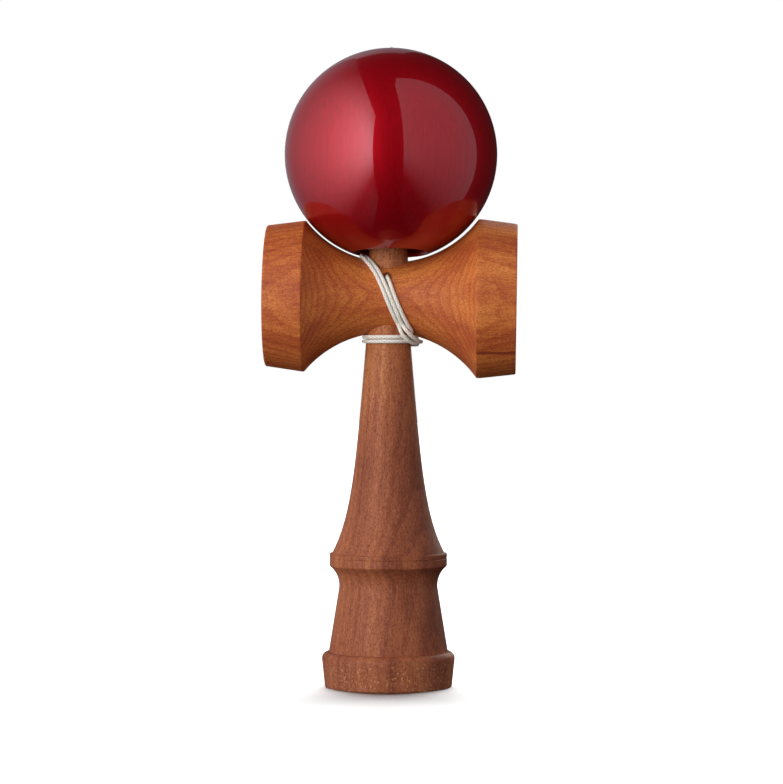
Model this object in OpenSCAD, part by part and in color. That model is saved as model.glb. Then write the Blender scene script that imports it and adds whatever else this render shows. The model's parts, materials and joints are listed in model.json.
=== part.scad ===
// Kendama: a turned handle with a spike, a cross piece with two cups, and a ball on a cord.
// Millimetres, +Z up. The origin is the centre of the foot, on the surface that the toy stands on.
// The cross piece lies along X with its larger cup at +X, and the cord leaves it in front, at -Y.

/* [Handle] */
// Height of the handle from its foot to the tip of its spike
handle_height = 157.5; // [150:0.5:165]
// Radius of the foot where it stands
foot_r = 17.95; // [16.8:0.05:19]
// Radius of the foot at the top of its side
foot_top_r = 18.8; // [18:0.1:20]
// Height of the foot's side
foot_height = 8.1; // [5:0.1:9]
// Radius of the rounded edge on top of the foot
foot_round = 1.9; // [0.8:0.1:2]
// Radius of the lower body where it rises from the foot
body_r = 16.9; // [15:0.1:17]
// Radius of the body's waist, under the collar
body_waist_r = 13.9; // [12:0.1:14.5]
// Height of the body's waist above the surface it stands on
body_waist_z = 28.7; // [24:0.1:30]
// Radius of the cove between the waist and the collar
cove_r = 7; // [5:0.1:9]
// Radius of the collar
collar_r = 16.6; // [15.5:0.05:18]
// Height of the collar's top edge
collar_top_z = 37.8; // [36.5:0.1:42]
// Radius of the neck where it enters the cross piece
neck_r = 6.15; // [5.6:0.05:6.4]
// Length over which the flare above the collar dies away
flare_length = 10.7; // [8:0.1:14]
// Radius of the spike where it leaves the cross piece
spike_r = 5.65; // [5.3:0.05:5.8]
// Radius of the spike's rounded tip
tip_r = 2.6; // [1.5:0.1:3.5]
// Radius of the cup in the foot
base_cup_r = 15.2; // [12:0.1:15.8]
// Depth of the cup in the foot
base_cup_depth = 6.5; // [5:0.1:8]

/* [Cross piece] */
// Length of the cross piece over both cups
cross_length = 70.7; // [68:0.1:75]
// Height of the cross piece's axis
cross_z = 110; // [105:0.5:114]
// How much farther the large cup's end is from the waist than the small cup's end
end_difference = 1; // [0:0.1:2]
// Distance from the handle's axis to the middle of the waist, towards the large cup
cross_shift = 0.4; // [0:0.1:1]
// Tilt of the cross piece on the handle, with its large cup down
cross_tilt = 0.85; // [0:0.05:1.2]
// Radius of the cross piece at its waist
waist_r = 9.9; // [9:0.1:11]
// Radius of the hollow of the waist, seen from the side
saddle_arc_r = 30.9; // [30.5:0.1:34]
// Radius of the ridge behind the large cup
big_ridge_r = 22.4; // [21.5:0.1:23]
// Radius of the large cup's rim
big_rim_r = 21.2; // [20.5:0.1:22]
// Radius of the large cup's mouth
big_cup_r = 19; // [17:0.1:19.4]
// Depth of the large cup
big_cup_depth = 9; // [7:0.1:11]
// Radius of the ridge behind the small cup
small_ridge_r = 21.3; // [20.2:0.1:22]
// Radius of the small cup's rim
small_rim_r = 19.9; // [19:0.1:20.5]
// Radius of the small cup's mouth
small_cup_r = 17.8; // [16:0.1:18.2]
// Depth of the small cup
small_cup_depth = 8; // [6:0.1:10]
// Radius of the rounded rims of both cups
rim_round = 0.8; // [0.4:0.05:1]
// Diameter of the cord's holes in the cross piece
cross_hole_d = 2.6; // [2.5:0.1:3]
// Height of the cord's holes above the cross piece's axis
cord_hole_rise = 5.7; // [5:0.1:6]

/* [Ball] */
// Diameter of the ball
ball_d = 60; // [57:0.5:62]
// Diameter of the ball's bore
bore_d = 20; // [18:0.1:21]
// Diameter of the bevelled mouth of the bore
mouth_d = 21.2; // [21.1:0.1:22]
// Distance from the ball's centre to the end of its bore
bore_end_rise = 19; // [18.5:0.1:22]
// Diameter of the cord's hole in the top of the ball
ball_hole_d = 3.8; // [3.5:0.1:4.5]
// Depth of the countersink where the cord leaves the ball
countersink_depth = 1.5; // [1:0.1:2]
// Distance from the handle's axis to the ball's centre, towards the large cup
ball_shift = 0.75; // [0:0.05:1.2]
// Lean of the ball on the spike, away from the front
ball_lean = 6; // [0:0.5:8]

/* [Cord] */
// Diameter of the cord
cord_d = 1.1; // [0.9:0.05:1.2]
// Diameter of the stop bead inside the ball
bead_d = 6.4; // [6:0.1:7]
// Diameter of the knot under the stop bead
bead_knot_d = 2.6; // [2.3:0.1:3]
// Height of the knot under the stop bead
bead_knot_height = 2.2; // [1.8:0.1:2.4]
// Length of the knot that anchors the cord in the cross piece
anchor_knot_length = 2.3; // [2:0.1:2.4]
// Pitch of the turns round the neck
winding_pitch = 1.52; // [1.52:0.01:1.7]
// Height of the top turn round the neck
winding_z = 98.5; // [98:0.1:98.6]

/* [Hidden] */
$fn = 96;

// Clearances and small edges
overrun = 1;
seat_gap = 0.03;
ball_gap = 0.4;
cord_ball_gap = 0.45;
bead_gap = 0.3;
knot_gap = 0.05;
lay_gap = 0.12;
strand_gap = 0.1;
hole_gap = 0.2;
foot_edge = 0.25;
collar_round = 0.4;
waist_blend = 9;
collar_edge = 0.25;
big_ridge_land = 1.2;
small_ridge_land = 0.6;
arc_steps = 6;
flare_steps = 18;

// Handle: heights that follow from its driving sizes
body_z = foot_height + foot_round;
neck_z = cross_z - waist_r - overrun;
spike_z = cross_z + waist_r;
cove_end_r = collar_r - collar_round;
cove_angle = acos(1 - (cove_end_r - body_waist_r) / cove_r);
cove_end_z = body_waist_z + cove_r * sin(cove_angle);
neck_taper_share = 0.08;
flare_start_share = 0.96;
flare_crowding = 1.6;
flare_top_r = collar_r * flare_start_share - neck_r - neck_taper_share * (neck_z - collar_top_z);

// Radius of the handle between its collar and its neck: a straight taper and a dying flare
function flare_r(z) =
    neck_r + neck_taper_share * (neck_z - z) + flare_top_r * exp((collar_top_z - z) / flare_length);
// Radius of the tapered seat and of the spike above it
function seat_r(z) = neck_r + (spike_r - neck_r) * (z - neck_z) / (spike_z - neck_z);
// Points on an arc in the plane of a profile
function arc_points(centre, r, from, to) =
    [for (i = [0 : arc_steps]) let (a = from + (to - from) * i / arc_steps)
        centre + r * [cos(a), sin(a)]];
// Radius of the ball that fits a dish of this mouth radius and depth
function dish_r(mouth, depth) = (mouth * mouth + depth * depth) / (2 * depth);

// Cross piece: its waist is hollowed by an arc that ends at the two ridges
big_end = (cross_length + end_difference) / 2;
small_end = (cross_length - end_difference) / 2;
arc_centre_r = waist_r + saddle_arc_r;
function cross_r(x) = arc_centre_r - sqrt(saddle_arc_r * saddle_arc_r - x * x);
function ridge_x(r) = sqrt(saddle_arc_r * saddle_arc_r - pow(arc_centre_r - r, 2));
// Height of the tilted saddle's top line above the cross piece's axis
function saddle_top(x) =
    let (level = x - cross_shift, along = level - cross_r(level) * sin(cross_tilt))
        cross_r(along) * cos(cross_tilt) - along * sin(cross_tilt);
cord_hole_z = cross_z + cord_hole_rise;
cord_hole_d = cord_d + 2 * hole_gap;

// Ball: it rests in the hollow of the waist, just outside its mouth
ball_r = ball_d / 2;
bore_r = bore_d / 2;
mouth_r = mouth_d / 2;
mouth_contact_share = 0.96;
contact_steps = 20;
contact_from = mouth_r * mouth_contact_share;
contact_to = ridge_x(small_ridge_r);
ball_rise = ball_gap + max([for (side = [-1, 1], i = [0 : contact_steps])
    let (x = side * (contact_from + (contact_to - contact_from) * i / contact_steps))
        saddle_top(ball_shift + x) + sqrt(ball_r * ball_r - x * x)]);
ball_z = cross_z + ball_rise;
mouth_drop = sqrt(ball_r * ball_r - mouth_r * mouth_r);
bead_rise = bore_end_rise - bead_gap - bead_d / 2;
bead_hole_d = cord_d + 2 * hole_gap;
bead_seat_r = bead_knot_d / 2;
bead_flat = bead_d / 2 - sqrt(pow(bead_d / 2, 2) - bead_seat_r * bead_seat_r);
bead_bottom = bead_rise - bead_d / 2 + bead_flat;
anchor_knot_d = cross_hole_d - 2 * strand_gap;
anchor_y = seat_r(cord_hole_z) + knot_gap;

// Cord: places on the wood that the route is laid through
cord_r = cord_d / 2;
layer = cord_d + strand_gap;
ball_lay_r = ball_r + cord_ball_gap + cord_r;
// On the cross piece, so many degrees forward of its top line
function on_cross(x, forward, lift = 0) =
    let (along = x - cross_shift, r = cross_r(along) + cord_r + lay_gap + lift, up = r * cos(forward))
        [
            cross_shift + along * cos(cross_tilt) + up * sin(cross_tilt),
            -r * sin(forward),
            cross_z - along * sin(cross_tilt) + up * cos(cross_tilt)
        ];
// Round the neck, so many degrees from the right-hand side, counter-clockwise from above
function on_neck(turn, z, lift = 0) =
    let (r = flare_r(z) + cord_r + lay_gap + lift)
        [r * cos(turn), r * sin(turn), z];
// Over the back of the ball, so many degrees above the level of its centre
function on_ball(rise) = [ball_shift, ball_lay_r * cos(rise), ball_z + ball_lay_r * sin(rise)];
// In the leaning ball: behind its axis and along it from the centre
function in_ball(behind, along) = [
    ball_shift,
    behind * cos(ball_lean) + along * sin(ball_lean),
    ball_z - behind * sin(ball_lean) + along * cos(ball_lean)
];

// The turns round the neck are level in front and drop by one pitch behind
loop_rings = 24;
winding_from = 180;
winding_to = 810;
winding_steps = loop_rings * (winding_to - winding_from) / 360;
function smooth(t) = t * t * (3 - 2 * t);
function turn_drop(turn) =
    let (whole = floor(turn / 360), part = turn / 360 - whole)
        whole + smooth(min(1, 2 * part));
function winding_point(turn) = on_neck(turn, winding_z - winding_pitch * (turn_drop(turn) - 1));
winding_start = winding_point(winding_from) + [0, cord_d, 0];
winding_end = winding_point(winding_to) - [cord_d, 0, 0];
winding_line = concat(
    [winding_start],
    [for (i = [0 : winding_steps]) winding_point(winding_from + i * 360 / loop_rings)],
    [winding_end]
);

// From the anchor knot through the handle, out in front, down to the right and behind the neck
lead_route = concat(
    [for (share = [1, 0.5, 0, -0.5, -1]) [0, share * anchor_y, cord_hole_z]],
    [
        [0, -7.4, cord_hole_z], [0.1, -8.7, 115.5], on_cross(0.4, 63), on_cross(1.3, 74),
        on_cross(2, 83), on_cross(2.7, 92), on_cross(3.8, 106), on_cross(5, 120), on_cross(6.3, 135, 0.1),
        [6.9, -6.3, 100.6], on_neck(-35, 99.2, 1.4), on_neck(-15, 98.4, 1.4),
        on_neck(0, 98.1, layer), on_neck(20, 98.2, layer), on_neck(40, 98.5, layer),
        on_neck(60, 98.8, layer), on_neck(80, 99.1, 0.9), on_neck(100, 99.2, 0.5), on_neck(120, 99.1, 0.2),
        on_neck(140, 98.9, 0.1), on_neck(156, 98.6, 0.1), winding_start
    ]
);
// From the winding up the back, over the left of the spike, across the front and behind the neck
first_route = [
    winding_end, [-2.2, 7.5, 96.4], [-2.9, 8.4, 97.4], [-3.1, 9.1, 99.2], [-3.2, 9.4, 101.4],
    on_cross(-3.4, -122, 0.1), on_cross(-3.9, -105), on_cross(-4.6, -85), on_cross(-5.4, -62),
    on_cross(-6.4, -40), on_cross(-7.4, -20), on_cross(-7.85, 0), on_cross(-7.25, 15), on_cross(-6, 28),
    on_cross(-4.5, 42), on_cross(-3.2, 55), on_cross(-2.1, 68), on_cross(-1.1, 80), on_cross(-0.2, 92),
    on_cross(0.9, 106), on_cross(2, 120, 0.1), on_cross(3.1, 134, 0.1), [4.1, -7.7, 99.8],
    [5.6, -6.6, 98], on_neck(-25, 97, layer), on_neck(-10, 96.9, layer), on_neck(5, 96.8, layer),
    on_neck(20, 96.7, 1.3), on_neck(35, 96.7, 1.3), on_neck(50, 96.7, 1.3), on_neck(65, 96.9, 1.3)
];
// The second loop, beside the first one
second_route = [
    on_neck(65, 96.9, 1.3), [1.9, 8.7, 97.8], [1.1, 9.2, 99.4], [0.7, 9.5, 101.4],
    on_cross(0.2, -122, 0.1), on_cross(-0.9, -105), on_cross(-2, -85), on_cross(-3.3, -62),
    on_cross(-4.8, -40), on_cross(-5.95, -20), on_cross(-6.6, 0), on_cross(-5.9, 15), on_cross(-4.5, 28),
    on_cross(-3, 42), on_cross(-1.8, 55), on_cross(-0.8, 68), on_cross(0.2, 80), on_cross(1.2, 92),
    on_cross(2.3, 106), on_cross(3.4, 120, 0.1), on_cross(4.5, 134, 0.2), [5.6, -8.2, 100.5],
    [7.2, -6.8, 98.8], [8.9, -3.4, 97.7], [9.5, 0, 97.4], [8.7, 4, 97.6], [6.5, 7.1, 98.4]
];
// From the loops up the back of the cross piece to the back of the ball
riser_route = [
    [6.5, 7.1, 98.4], [5, 8.7, 99.6], [3.9, 9.6, 101.6], on_cross(2.9, -120, 0.2), on_cross(1.9, -105, 0.1),
    on_cross(1.1, -92, 0.2), [1, 14.2, 115.2], [0.9, 18.1, 121.4], [0.8, 22.1, 127.5], on_ball(-33.6)
];
// Over the ball and down into it, to the knot under the stop bead
ball_route = concat(
    [for (rise = [-33 : 9 : 75]) on_ball(rise)],
    [
        in_ball(3.2, 30.8), in_ball(1.8, 30.7), in_ball(0.8, 30.1), in_ball(0.2, 28.9), in_ball(0, 27.4),
        in_ball(0, 25), in_ball(0, 22), in_ball(0, 18), in_ball(0, bead_bottom - knot_gap)
    ]
);

// A curve through all points of a route, with so many steps from each point to the next
function curve_at(a, b, c, d, t) =
    0.5 * (2 * b + (c - a) * t + (2 * a - 5 * b + 4 * c - d) * t * t
        + (3 * b - a - 3 * c + d) * t * t * t);
function curve(points, steps) =
    let (last = len(points) - 1)
        concat(
            [for (i = [0 : last - 1], k = [0 : steps - 1])
                curve_at(points[max(i - 1, 0)], points[i], points[i + 1], points[min(i + 2, last)],
                    k / steps)],
            [points[last]]
        );
function unit(v) = v / norm(v);
function heading(line, i) = unit(line[min(i + 1, len(line) - 1)] - line[max(i - 1, 0)]);
function square_to(v, along) = unit(v - along * (v * along));
// Side directions that turn with the line and never twist about it
function sides_along(line) =
    [for (i = 0, n = square_to([0.3, 0.2, 1], heading(line, 0)); i < len(line);
        i = i + 1, n = square_to(n, heading(line, min(i, len(line) - 1)))) n];
// Least gap between stretches of one line that are more than half a loop apart
function least_gap(line, apart) =
    min([for (i = [0 : len(line) - 1 - apart], k = [i + apart : len(line) - 1])
        norm(line[i] - line[k])]) - cord_d;

lead_line = curve(lead_route, 2);
first_line = curve(first_route, 2);
second_line = curve(second_route, 2);
riser_line = curve(riser_route, 2);
ball_line = curve(ball_route, 2);
loop_sides = 6;
cord_sides = 8;
half_loop = loop_rings / 2;
echo(winding_least_gap = least_gap(winding_line, half_loop));
echo(first_loop_least_gap = least_gap(first_line, half_loop));
echo(second_loop_least_gap = least_gap(second_line, half_loop));

handle_colour = "#7a4630";
cross_colour = "#b5702f";
ball_colour = "#8d0a1c";
bead_colour = "#c9a06a";
cord_colour = "#e3d9c3";

// A tube of the cord's diameter along a line of points, closed at both ends
module cord_tube(line, sides) {
    count = len(line);
    side = sides_along(line);
    rings = [for (i = [0 : count - 1], k = [0 : sides - 1])
        let (along = heading(line, i), a = 360 * k / sides)
            line[i] + cord_r * (cos(a) * side[i] + sin(a) * cross(along, side[i]))];
    walls = [for (i = [0 : count - 2], k = [0 : sides - 1])
        let (a = i * sides + k, b = i * sides + (k + 1) % sides)
            each [[a, a + sides, b], [b, a + sides, b + sides]]];
    start_cap = [for (k = [1 : sides - 2]) [0, k, k + 1]];
    far = (count - 1) * sides;
    end_cap = [for (k = [1 : sides - 2]) [far, far + k + 1, far + k]];
    polyhedron(points = rings, faces = concat(walls, start_cap, end_cap));
}

// Half of the handle's outline, from its foot to its tip
module handle_profile() {
    tip_centre_z = handle_height - tip_r;
    flare_points = [for (i = [0 : flare_steps])
        let (z = collar_top_z + (neck_z - collar_top_z) * pow(i / flare_steps, flare_crowding))
            [flare_r(z), z]];
    polygon(concat(
        [[0, 0], [foot_r - foot_edge, 0], [foot_r, foot_edge]],
        arc_points([foot_top_r - foot_round, foot_height], foot_round, 0, 90),
        [[body_r, body_z]],
        arc_points([body_waist_r + cove_r, body_waist_z], cove_r, 180 + waist_blend, 180 - cove_angle),
        arc_points([collar_r - collar_round, cove_end_z + collar_round], collar_round, -90, 0),
        [[collar_r, collar_top_z - collar_edge], [collar_r - collar_edge, collar_top_z]],
        flare_points,
        [[spike_r, spike_z]],
        arc_points([0, tip_centre_z], tip_r, 0, 90)
    ));
}

module handle() {
    base_cup_ball_r = dish_r(base_cup_r, base_cup_depth);
    color(handle_colour)
        difference() {
            rotate_extrude() handle_profile();
            translate([0, 0, base_cup_depth - base_cup_ball_r]) sphere(base_cup_ball_r);
            translate([0, foot_r, cord_hole_z])
                rotate([90, 0, 0]) cylinder(h = 2 * foot_r, d = cord_hole_d);
        }
}

// Half of the cross piece's outline, with its axis along Y and its large cup up
module cross_profile() {
    difference() {
        polygon(concat(
            [[0, -small_end]],
            arc_points([small_rim_r - rim_round, rim_round - small_end], rim_round, -90, 0),
            [
                [small_ridge_r, -ridge_x(small_ridge_r) - small_ridge_land],
                [small_ridge_r, -ridge_x(small_ridge_r)],
                [big_ridge_r, ridge_x(big_ridge_r)],
                [big_ridge_r, ridge_x(big_ridge_r) + big_ridge_land]
            ],
            arc_points([big_rim_r - rim_round, big_end - rim_round], rim_round, 0, 90),
            [[0, big_end]]
        ));
        translate([arc_centre_r, 0]) circle(saddle_arc_r);
    }
}

// The cross piece as it comes off the lathe, standing on Z with its large cup up
module cross_blank() {
    big_ball_r = dish_r(big_cup_r, big_cup_depth);
    small_ball_r = dish_r(small_cup_r, small_cup_depth);
    difference() {
        rotate_extrude() cross_profile();
        translate([0, 0, big_end - big_cup_depth + big_ball_r]) sphere(big_ball_r);
        translate([0, 0, small_cup_depth - small_end - small_ball_r]) sphere(small_ball_r);
    }
}

module cross_piece() {
    seat_from = neck_z - overrun;
    seat_to = spike_z + overrun;
    color(cross_colour)
        difference() {
            translate([cross_shift, 0, cross_z]) rotate([0, 90 + cross_tilt, 0]) cross_blank();
            translate([0, 0, seat_from])
                cylinder(h = seat_to - seat_from, r1 = seat_r(seat_from) + seat_gap,
                    r2 = seat_r(seat_to) + seat_gap);
            translate([0, big_rim_r, cord_hole_z])
                rotate([90, 0, 0]) cylinder(h = 2 * big_rim_r, d = cross_hole_d);
        }
}

// Puts a piece that is centred on the ball's axis into the leaning ball
module lean_with_ball() {
    translate([ball_shift, 0, ball_z]) rotate([-ball_lean, 0, 0]) children();
}

module ball() {
    mouth_bevel = mouth_r - bore_r;
    ball_hole_r = ball_hole_d / 2;
    top_z = sqrt(ball_r * ball_r - pow(ball_hole_r + countersink_depth, 2));
    color(ball_colour)
        lean_with_ball()
            difference() {
                sphere(ball_r);
                translate([0, 0, -ball_r - overrun]) cylinder(h = ball_r + overrun + bore_end_rise, r = bore_r);
                translate([0, 0, -mouth_drop - overrun])
                    cylinder(h = mouth_bevel + overrun, r1 = mouth_r + overrun, r2 = bore_r);
                cylinder(h = ball_r + overrun, r = ball_hole_r);
                translate([0, 0, top_z - countersink_depth])
                    cylinder(h = countersink_depth + overrun, r1 = ball_hole_r,
                        r2 = ball_hole_r + countersink_depth + overrun);
            }
}

module stop_bead() {
    bead_r = bead_d / 2;
    color(bead_colour)
        lean_with_ball()
            translate([0, 0, bead_rise])
                difference() {
                    sphere(bead_r);
                    cylinder(h = bead_d + overrun, d = bead_hole_d, center = true);
                    for (end = [0, 1])
                        mirror([0, 0, end])
                            translate([-bead_r, -bead_r, bead_r - bead_flat]) cube(bead_d);
                }
}

// A knot drawn tight: two rounded turns of cord pressed together, standing on Z
module tight_knot(width, height) {
    turn_r = height / 4;
    rotate_extrude() {
        square([width / 2 - turn_r, height]);
        for (level = [1, 3])
            translate([width / 2 - turn_r, level * turn_r]) circle(turn_r, $fn = 24);
    }
}

module bead_knot() {
    color(cord_colour)
        lean_with_ball()
            translate([0, 0, bead_bottom - knot_gap - bead_knot_height])
                tight_knot(bead_knot_d, bead_knot_height);
}

module anchor_knot() {
    color(cord_colour)
        translate([0, anchor_y, cord_hole_z])
            rotate([-90, 0, 0]) tight_knot(anchor_knot_d, anchor_knot_length);
}

module cord_lead() { color(cord_colour) cord_tube(lead_line, cord_sides); }
module cord_neck_winding() { color(cord_colour) cord_tube(winding_line, loop_sides); }
module cord_first_loop() { color(cord_colour) cord_tube(first_line, loop_sides); }
module cord_second_loop() { color(cord_colour) cord_tube(second_line, loop_sides); }
module cord_riser() { color(cord_colour) cord_tube(riser_line, cord_sides); }
module cord_ball_end() { color(cord_colour) cord_tube(ball_line, cord_sides); }

handle();
cross_piece();
ball();
stop_bead();
bead_knot();
anchor_knot();
cord_lead();
cord_neck_winding();
cord_first_loop();
cord_second_loop();
cord_riser();
cord_ball_end();
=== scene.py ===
# %% [markdown]
# A kendama of turned wood and one cord
# The toy is a spiked handle, a waisted cross piece pressed onto it with a cup at each end, and a
# lacquered ball that hangs on a cord. Here the ball sits on the spike and the cord is wound and lashed
# round the cross piece. The solid model is loaded first as a fixed frame, so that each surface made
# below goes where its solid is.

# %% Load the frame
import json
import math

import bpy
import numpy as np
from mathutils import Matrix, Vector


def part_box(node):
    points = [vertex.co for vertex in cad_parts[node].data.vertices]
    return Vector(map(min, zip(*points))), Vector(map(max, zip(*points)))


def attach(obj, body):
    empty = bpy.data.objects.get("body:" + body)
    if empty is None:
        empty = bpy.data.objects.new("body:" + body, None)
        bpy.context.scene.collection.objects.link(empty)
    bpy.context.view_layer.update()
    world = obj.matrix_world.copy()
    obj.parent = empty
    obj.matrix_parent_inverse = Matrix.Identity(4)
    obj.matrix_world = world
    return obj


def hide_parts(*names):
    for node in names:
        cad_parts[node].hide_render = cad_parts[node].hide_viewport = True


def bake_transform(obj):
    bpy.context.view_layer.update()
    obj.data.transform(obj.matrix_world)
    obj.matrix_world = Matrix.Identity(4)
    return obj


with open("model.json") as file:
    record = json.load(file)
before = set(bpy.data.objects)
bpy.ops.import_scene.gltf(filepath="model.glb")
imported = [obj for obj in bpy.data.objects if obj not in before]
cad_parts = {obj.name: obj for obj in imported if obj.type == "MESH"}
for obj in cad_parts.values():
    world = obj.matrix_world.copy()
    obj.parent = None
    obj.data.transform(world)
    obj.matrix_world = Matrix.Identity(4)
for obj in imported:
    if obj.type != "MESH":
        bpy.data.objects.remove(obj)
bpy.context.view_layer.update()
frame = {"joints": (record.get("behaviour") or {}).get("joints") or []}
MM = 0.001

# %% [markdown]
# The camera
# The view is from nearly straight in front through a long lens, a little to the right of the middle and
# just above half height. A long lens keeps the cups round and the handle straight, so the camera stands
# far back and looks at the middle of the toy.

# %% Camera
AIM = np.array([0.9, 0.0, 83.3]) * MM
CAMERA_DISTANCE = 0.9
CAMERA_TURN = math.radians(2.2)
CAMERA_HEIGHT = 0.097
VIEW_WIDTH = 0.2215
SENSOR = 36.0

camera_data = bpy.data.cameras.new("camera")
camera_data.sensor_width = SENSOR
camera_data.lens = SENSOR * CAMERA_DISTANCE / VIEW_WIDTH
camera_data.clip_end = 20
camera = bpy.data.objects.new("camera", camera_data)
bpy.context.collection.objects.link(camera)
camera_place = np.array([
    AIM[0] + CAMERA_DISTANCE * math.sin(CAMERA_TURN),
    AIM[1] - CAMERA_DISTANCE * math.cos(CAMERA_TURN),
    CAMERA_HEIGHT,
])
camera.location = camera_place
sight = AIM - camera_place
camera.rotation_euler = (
    math.atan2(math.hypot(sight[0], sight[1]), -sight[2]),
    0,
    math.atan2(-sight[0], sight[1]),
)
bpy.context.scene.camera = camera
print("lens", round(camera_data.lens, 1), "mm")

# %% [markdown]
# From numbers to a mesh
# Every surface below is a grid of points worked out as one array. Three helpers turn grids into meshes:
# one joins neighbouring points of a grid with four-sided faces, one closes its ends, and one makes the
# object and shades it smooth.

# %% Mesh helpers
def grid_faces(rows, columns, loop_rows=False):
    """Faces of a grid whose columns close on themselves: each joins a point, its right, upper right and upper
    neighbours. With loop_rows the last row also joins the first."""
    row = np.arange(rows if loop_rows else rows - 1)[:, None]
    column = np.arange(columns)[None, :]
    upper = (row + 1) % rows
    right = (column + 1) % columns
    corners = [
        row * columns + column,
        row * columns + right,
        upper * columns + right,
        upper * columns + column,
    ]
    return np.stack([np.broadcast_to(c, (len(row), columns)) for c in corners], axis=-1).reshape(-1, 4)


def end_fans(rows, columns):
    """Triangles that close the first and the last row of a grid on the two pole points that follow it."""
    first = np.arange(columns)
    last = first + (rows - 1) * columns
    low_pole = np.full(columns, rows * columns)
    return [
        np.stack([np.roll(first, -1), first, low_pole], axis=-1),
        np.stack([last, np.roll(last, -1), low_pole + 1], axis=-1),
    ]


def make_object(name, points, faces, sharp_degrees=None):
    """An object at the origin whose mesh has these points, in metres, and these faces."""
    mesh = bpy.data.meshes.new(name)
    mesh.from_pydata(points.tolist(), [], [face for block in faces for face in block.tolist()])
    mesh.update()
    mesh.shade_smooth()
    if sharp_degrees is not None:
        mesh.set_sharp_from_angle(angle=math.radians(sharp_degrees))
    made = bpy.data.objects.new(name, mesh)
    bpy.context.collection.objects.link(made)
    return made


print("faces between 3 rings of 4 points:", len(grid_faces(3, 4)))

# %% [markdown]
# The sizes that the cord lies on
# The cord follows the wood, so its route is written with the same few formulas as the wood: the flared
# neck, the saddle of the cross piece and the ball. Lengths here are in millimetres.

# %% Sizes and shapes of the wood
def box_mm(node):
    """Lowest and highest corner of a solid of the frame, in millimetres."""
    low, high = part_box(node)
    return np.array(low) / MM, np.array(high) / MM


handle_height = box_mm("handle")[1][2]
ball_low, ball_high = box_mm("ball")
ball_joint = next(joint for joint in frame["joints"] if joint["name"] == "ball_spin")
ball_r = (ball_high[0] - ball_low[0]) / 2
ball_shift, _, ball_z = np.array(ball_joint["pos_m"]) / MM
ball_lean = math.asin(ball_joint["axis"][1])

cross_length, end_difference, cross_z = 70.7, 1.0, 110.0
cross_shift, cross_tilt = 0.4, math.radians(0.85)

neck_r, spike_r = 6.15, 5.65
waist_r, saddle_arc_r = 9.9, 30.9
neck_drop = 1
neck_z, spike_z = cross_z - waist_r - neck_drop, cross_z + waist_r
collar_r, collar_top_z = 16.6, 37.8
flare_length, neck_taper_share, flare_start_share = 10.7, 0.08, 0.96
cord_hole_z = cross_z + 5.7
flare_top_r = collar_r * flare_start_share - neck_r - neck_taper_share * (neck_z - collar_top_z)


def flare_r(z):
    """Radius of the neck: a cone that widens evenly downwards, plus a flare that is largest at the collar and
    falls by the same share with each step upwards."""
    flare = flare_top_r * np.exp((collar_top_z - z) / flare_length)
    return neck_r + neck_taper_share * (neck_z - z) + flare


def saddle_r(x):
    """Radius of the cross piece at a distance from its middle: an arc that swells towards both ends."""
    return waist_r + saddle_arc_r - np.sqrt(saddle_arc_r**2 - x**2)


def place_cross(along, across, up):
    """Put a point of the cross piece in place. Its waist is a little to the right of the handle's axis, and
    the piece is tilted about Y, with its large cup down."""
    c, s = math.cos(cross_tilt), math.sin(cross_tilt)
    return [cross_shift + along * c + up * s, across, cross_z - along * s + up * c]


print("handle", round(handle_height, 1), "ball", round(2 * ball_r, 1), "at height", round(ball_z, 2))

# %% [markdown]
# The cord's route
# One cord does everything: it is knotted behind the cross piece, goes through it to the front, runs
# under the arm twice round the neck, over the saddle and under again, and then climbs behind the ball
# into its top, where a bead stops it. Points laid on the neck, the saddle and the ball give its route,
# and a smooth curve goes through them all.

# %% Places on the wood and the ball
cord_d = 1.1
cord_r = cord_d / 2
lay_gap, layer_gap, ball_lay_gap = 0.12, 0.1, 0.45
layer = cord_d + layer_gap
ball_lay_r = ball_r + cord_r + ball_lay_gap
winding_pitch, winding_z = 1.24, 98.85
anchor_y = 5.8
bead_end = 12.58


def on_saddle(x, forward, lift=0.0):
    """Point of a cord on the cross piece: x along it, forward the angle from its top towards the front."""
    along = x - cross_shift
    r = saddle_r(along) + cord_r + lay_gap + lift
    angle = math.radians(forward)
    return place_cross(along, -r * math.sin(angle), r * math.cos(angle))


def on_neck(turn, z, lift=0.0):
    """Point of a cord on the neck: turn is the angle round it from the right, z the height."""
    r = flare_r(z) + cord_r + lay_gap + lift
    angle = math.radians(turn)
    return [r * math.cos(angle), r * math.sin(angle), z]


def laid(surface, *rows):
    """Points of a run of cord, from rows of the values that on_saddle or on_neck takes."""
    return [surface(*row) for row in rows]


def on_ball(rise):
    """Point of a cord on the back of the ball, rise degrees above its middle."""
    angle = math.radians(rise)
    return [ball_shift, ball_lay_r * math.cos(angle), ball_z + ball_lay_r * math.sin(angle)]


def in_ball(behind, along):
    """Point near the ball's leaning axis: behind it, and along it from the ball's middle."""
    back = behind * math.cos(ball_lean) + along * math.sin(ball_lean)
    up = -behind * math.sin(ball_lean) + along * math.cos(ball_lean)
    return [ball_shift, back, ball_z + up]


def winding_point(turn):
    """Point of the two turns on the neck: each turn steps down by one pitch in its first half."""
    part = turn / 360 % 1
    half = min(1.0, 2 * part)
    drop = turn // 360 + half * half * (3 - 2 * half)
    return np.array(on_neck(turn, winding_z - winding_pitch * (drop - 1)))


print("cord", cord_d, "mm thick, turns on the neck", winding_pitch, "mm apart")

# %% [markdown]
# Points along the route
# The route is laid run by run. Free points, written as plain coordinates, bridge the places where the
# cord leaves one surface for the next.

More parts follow.
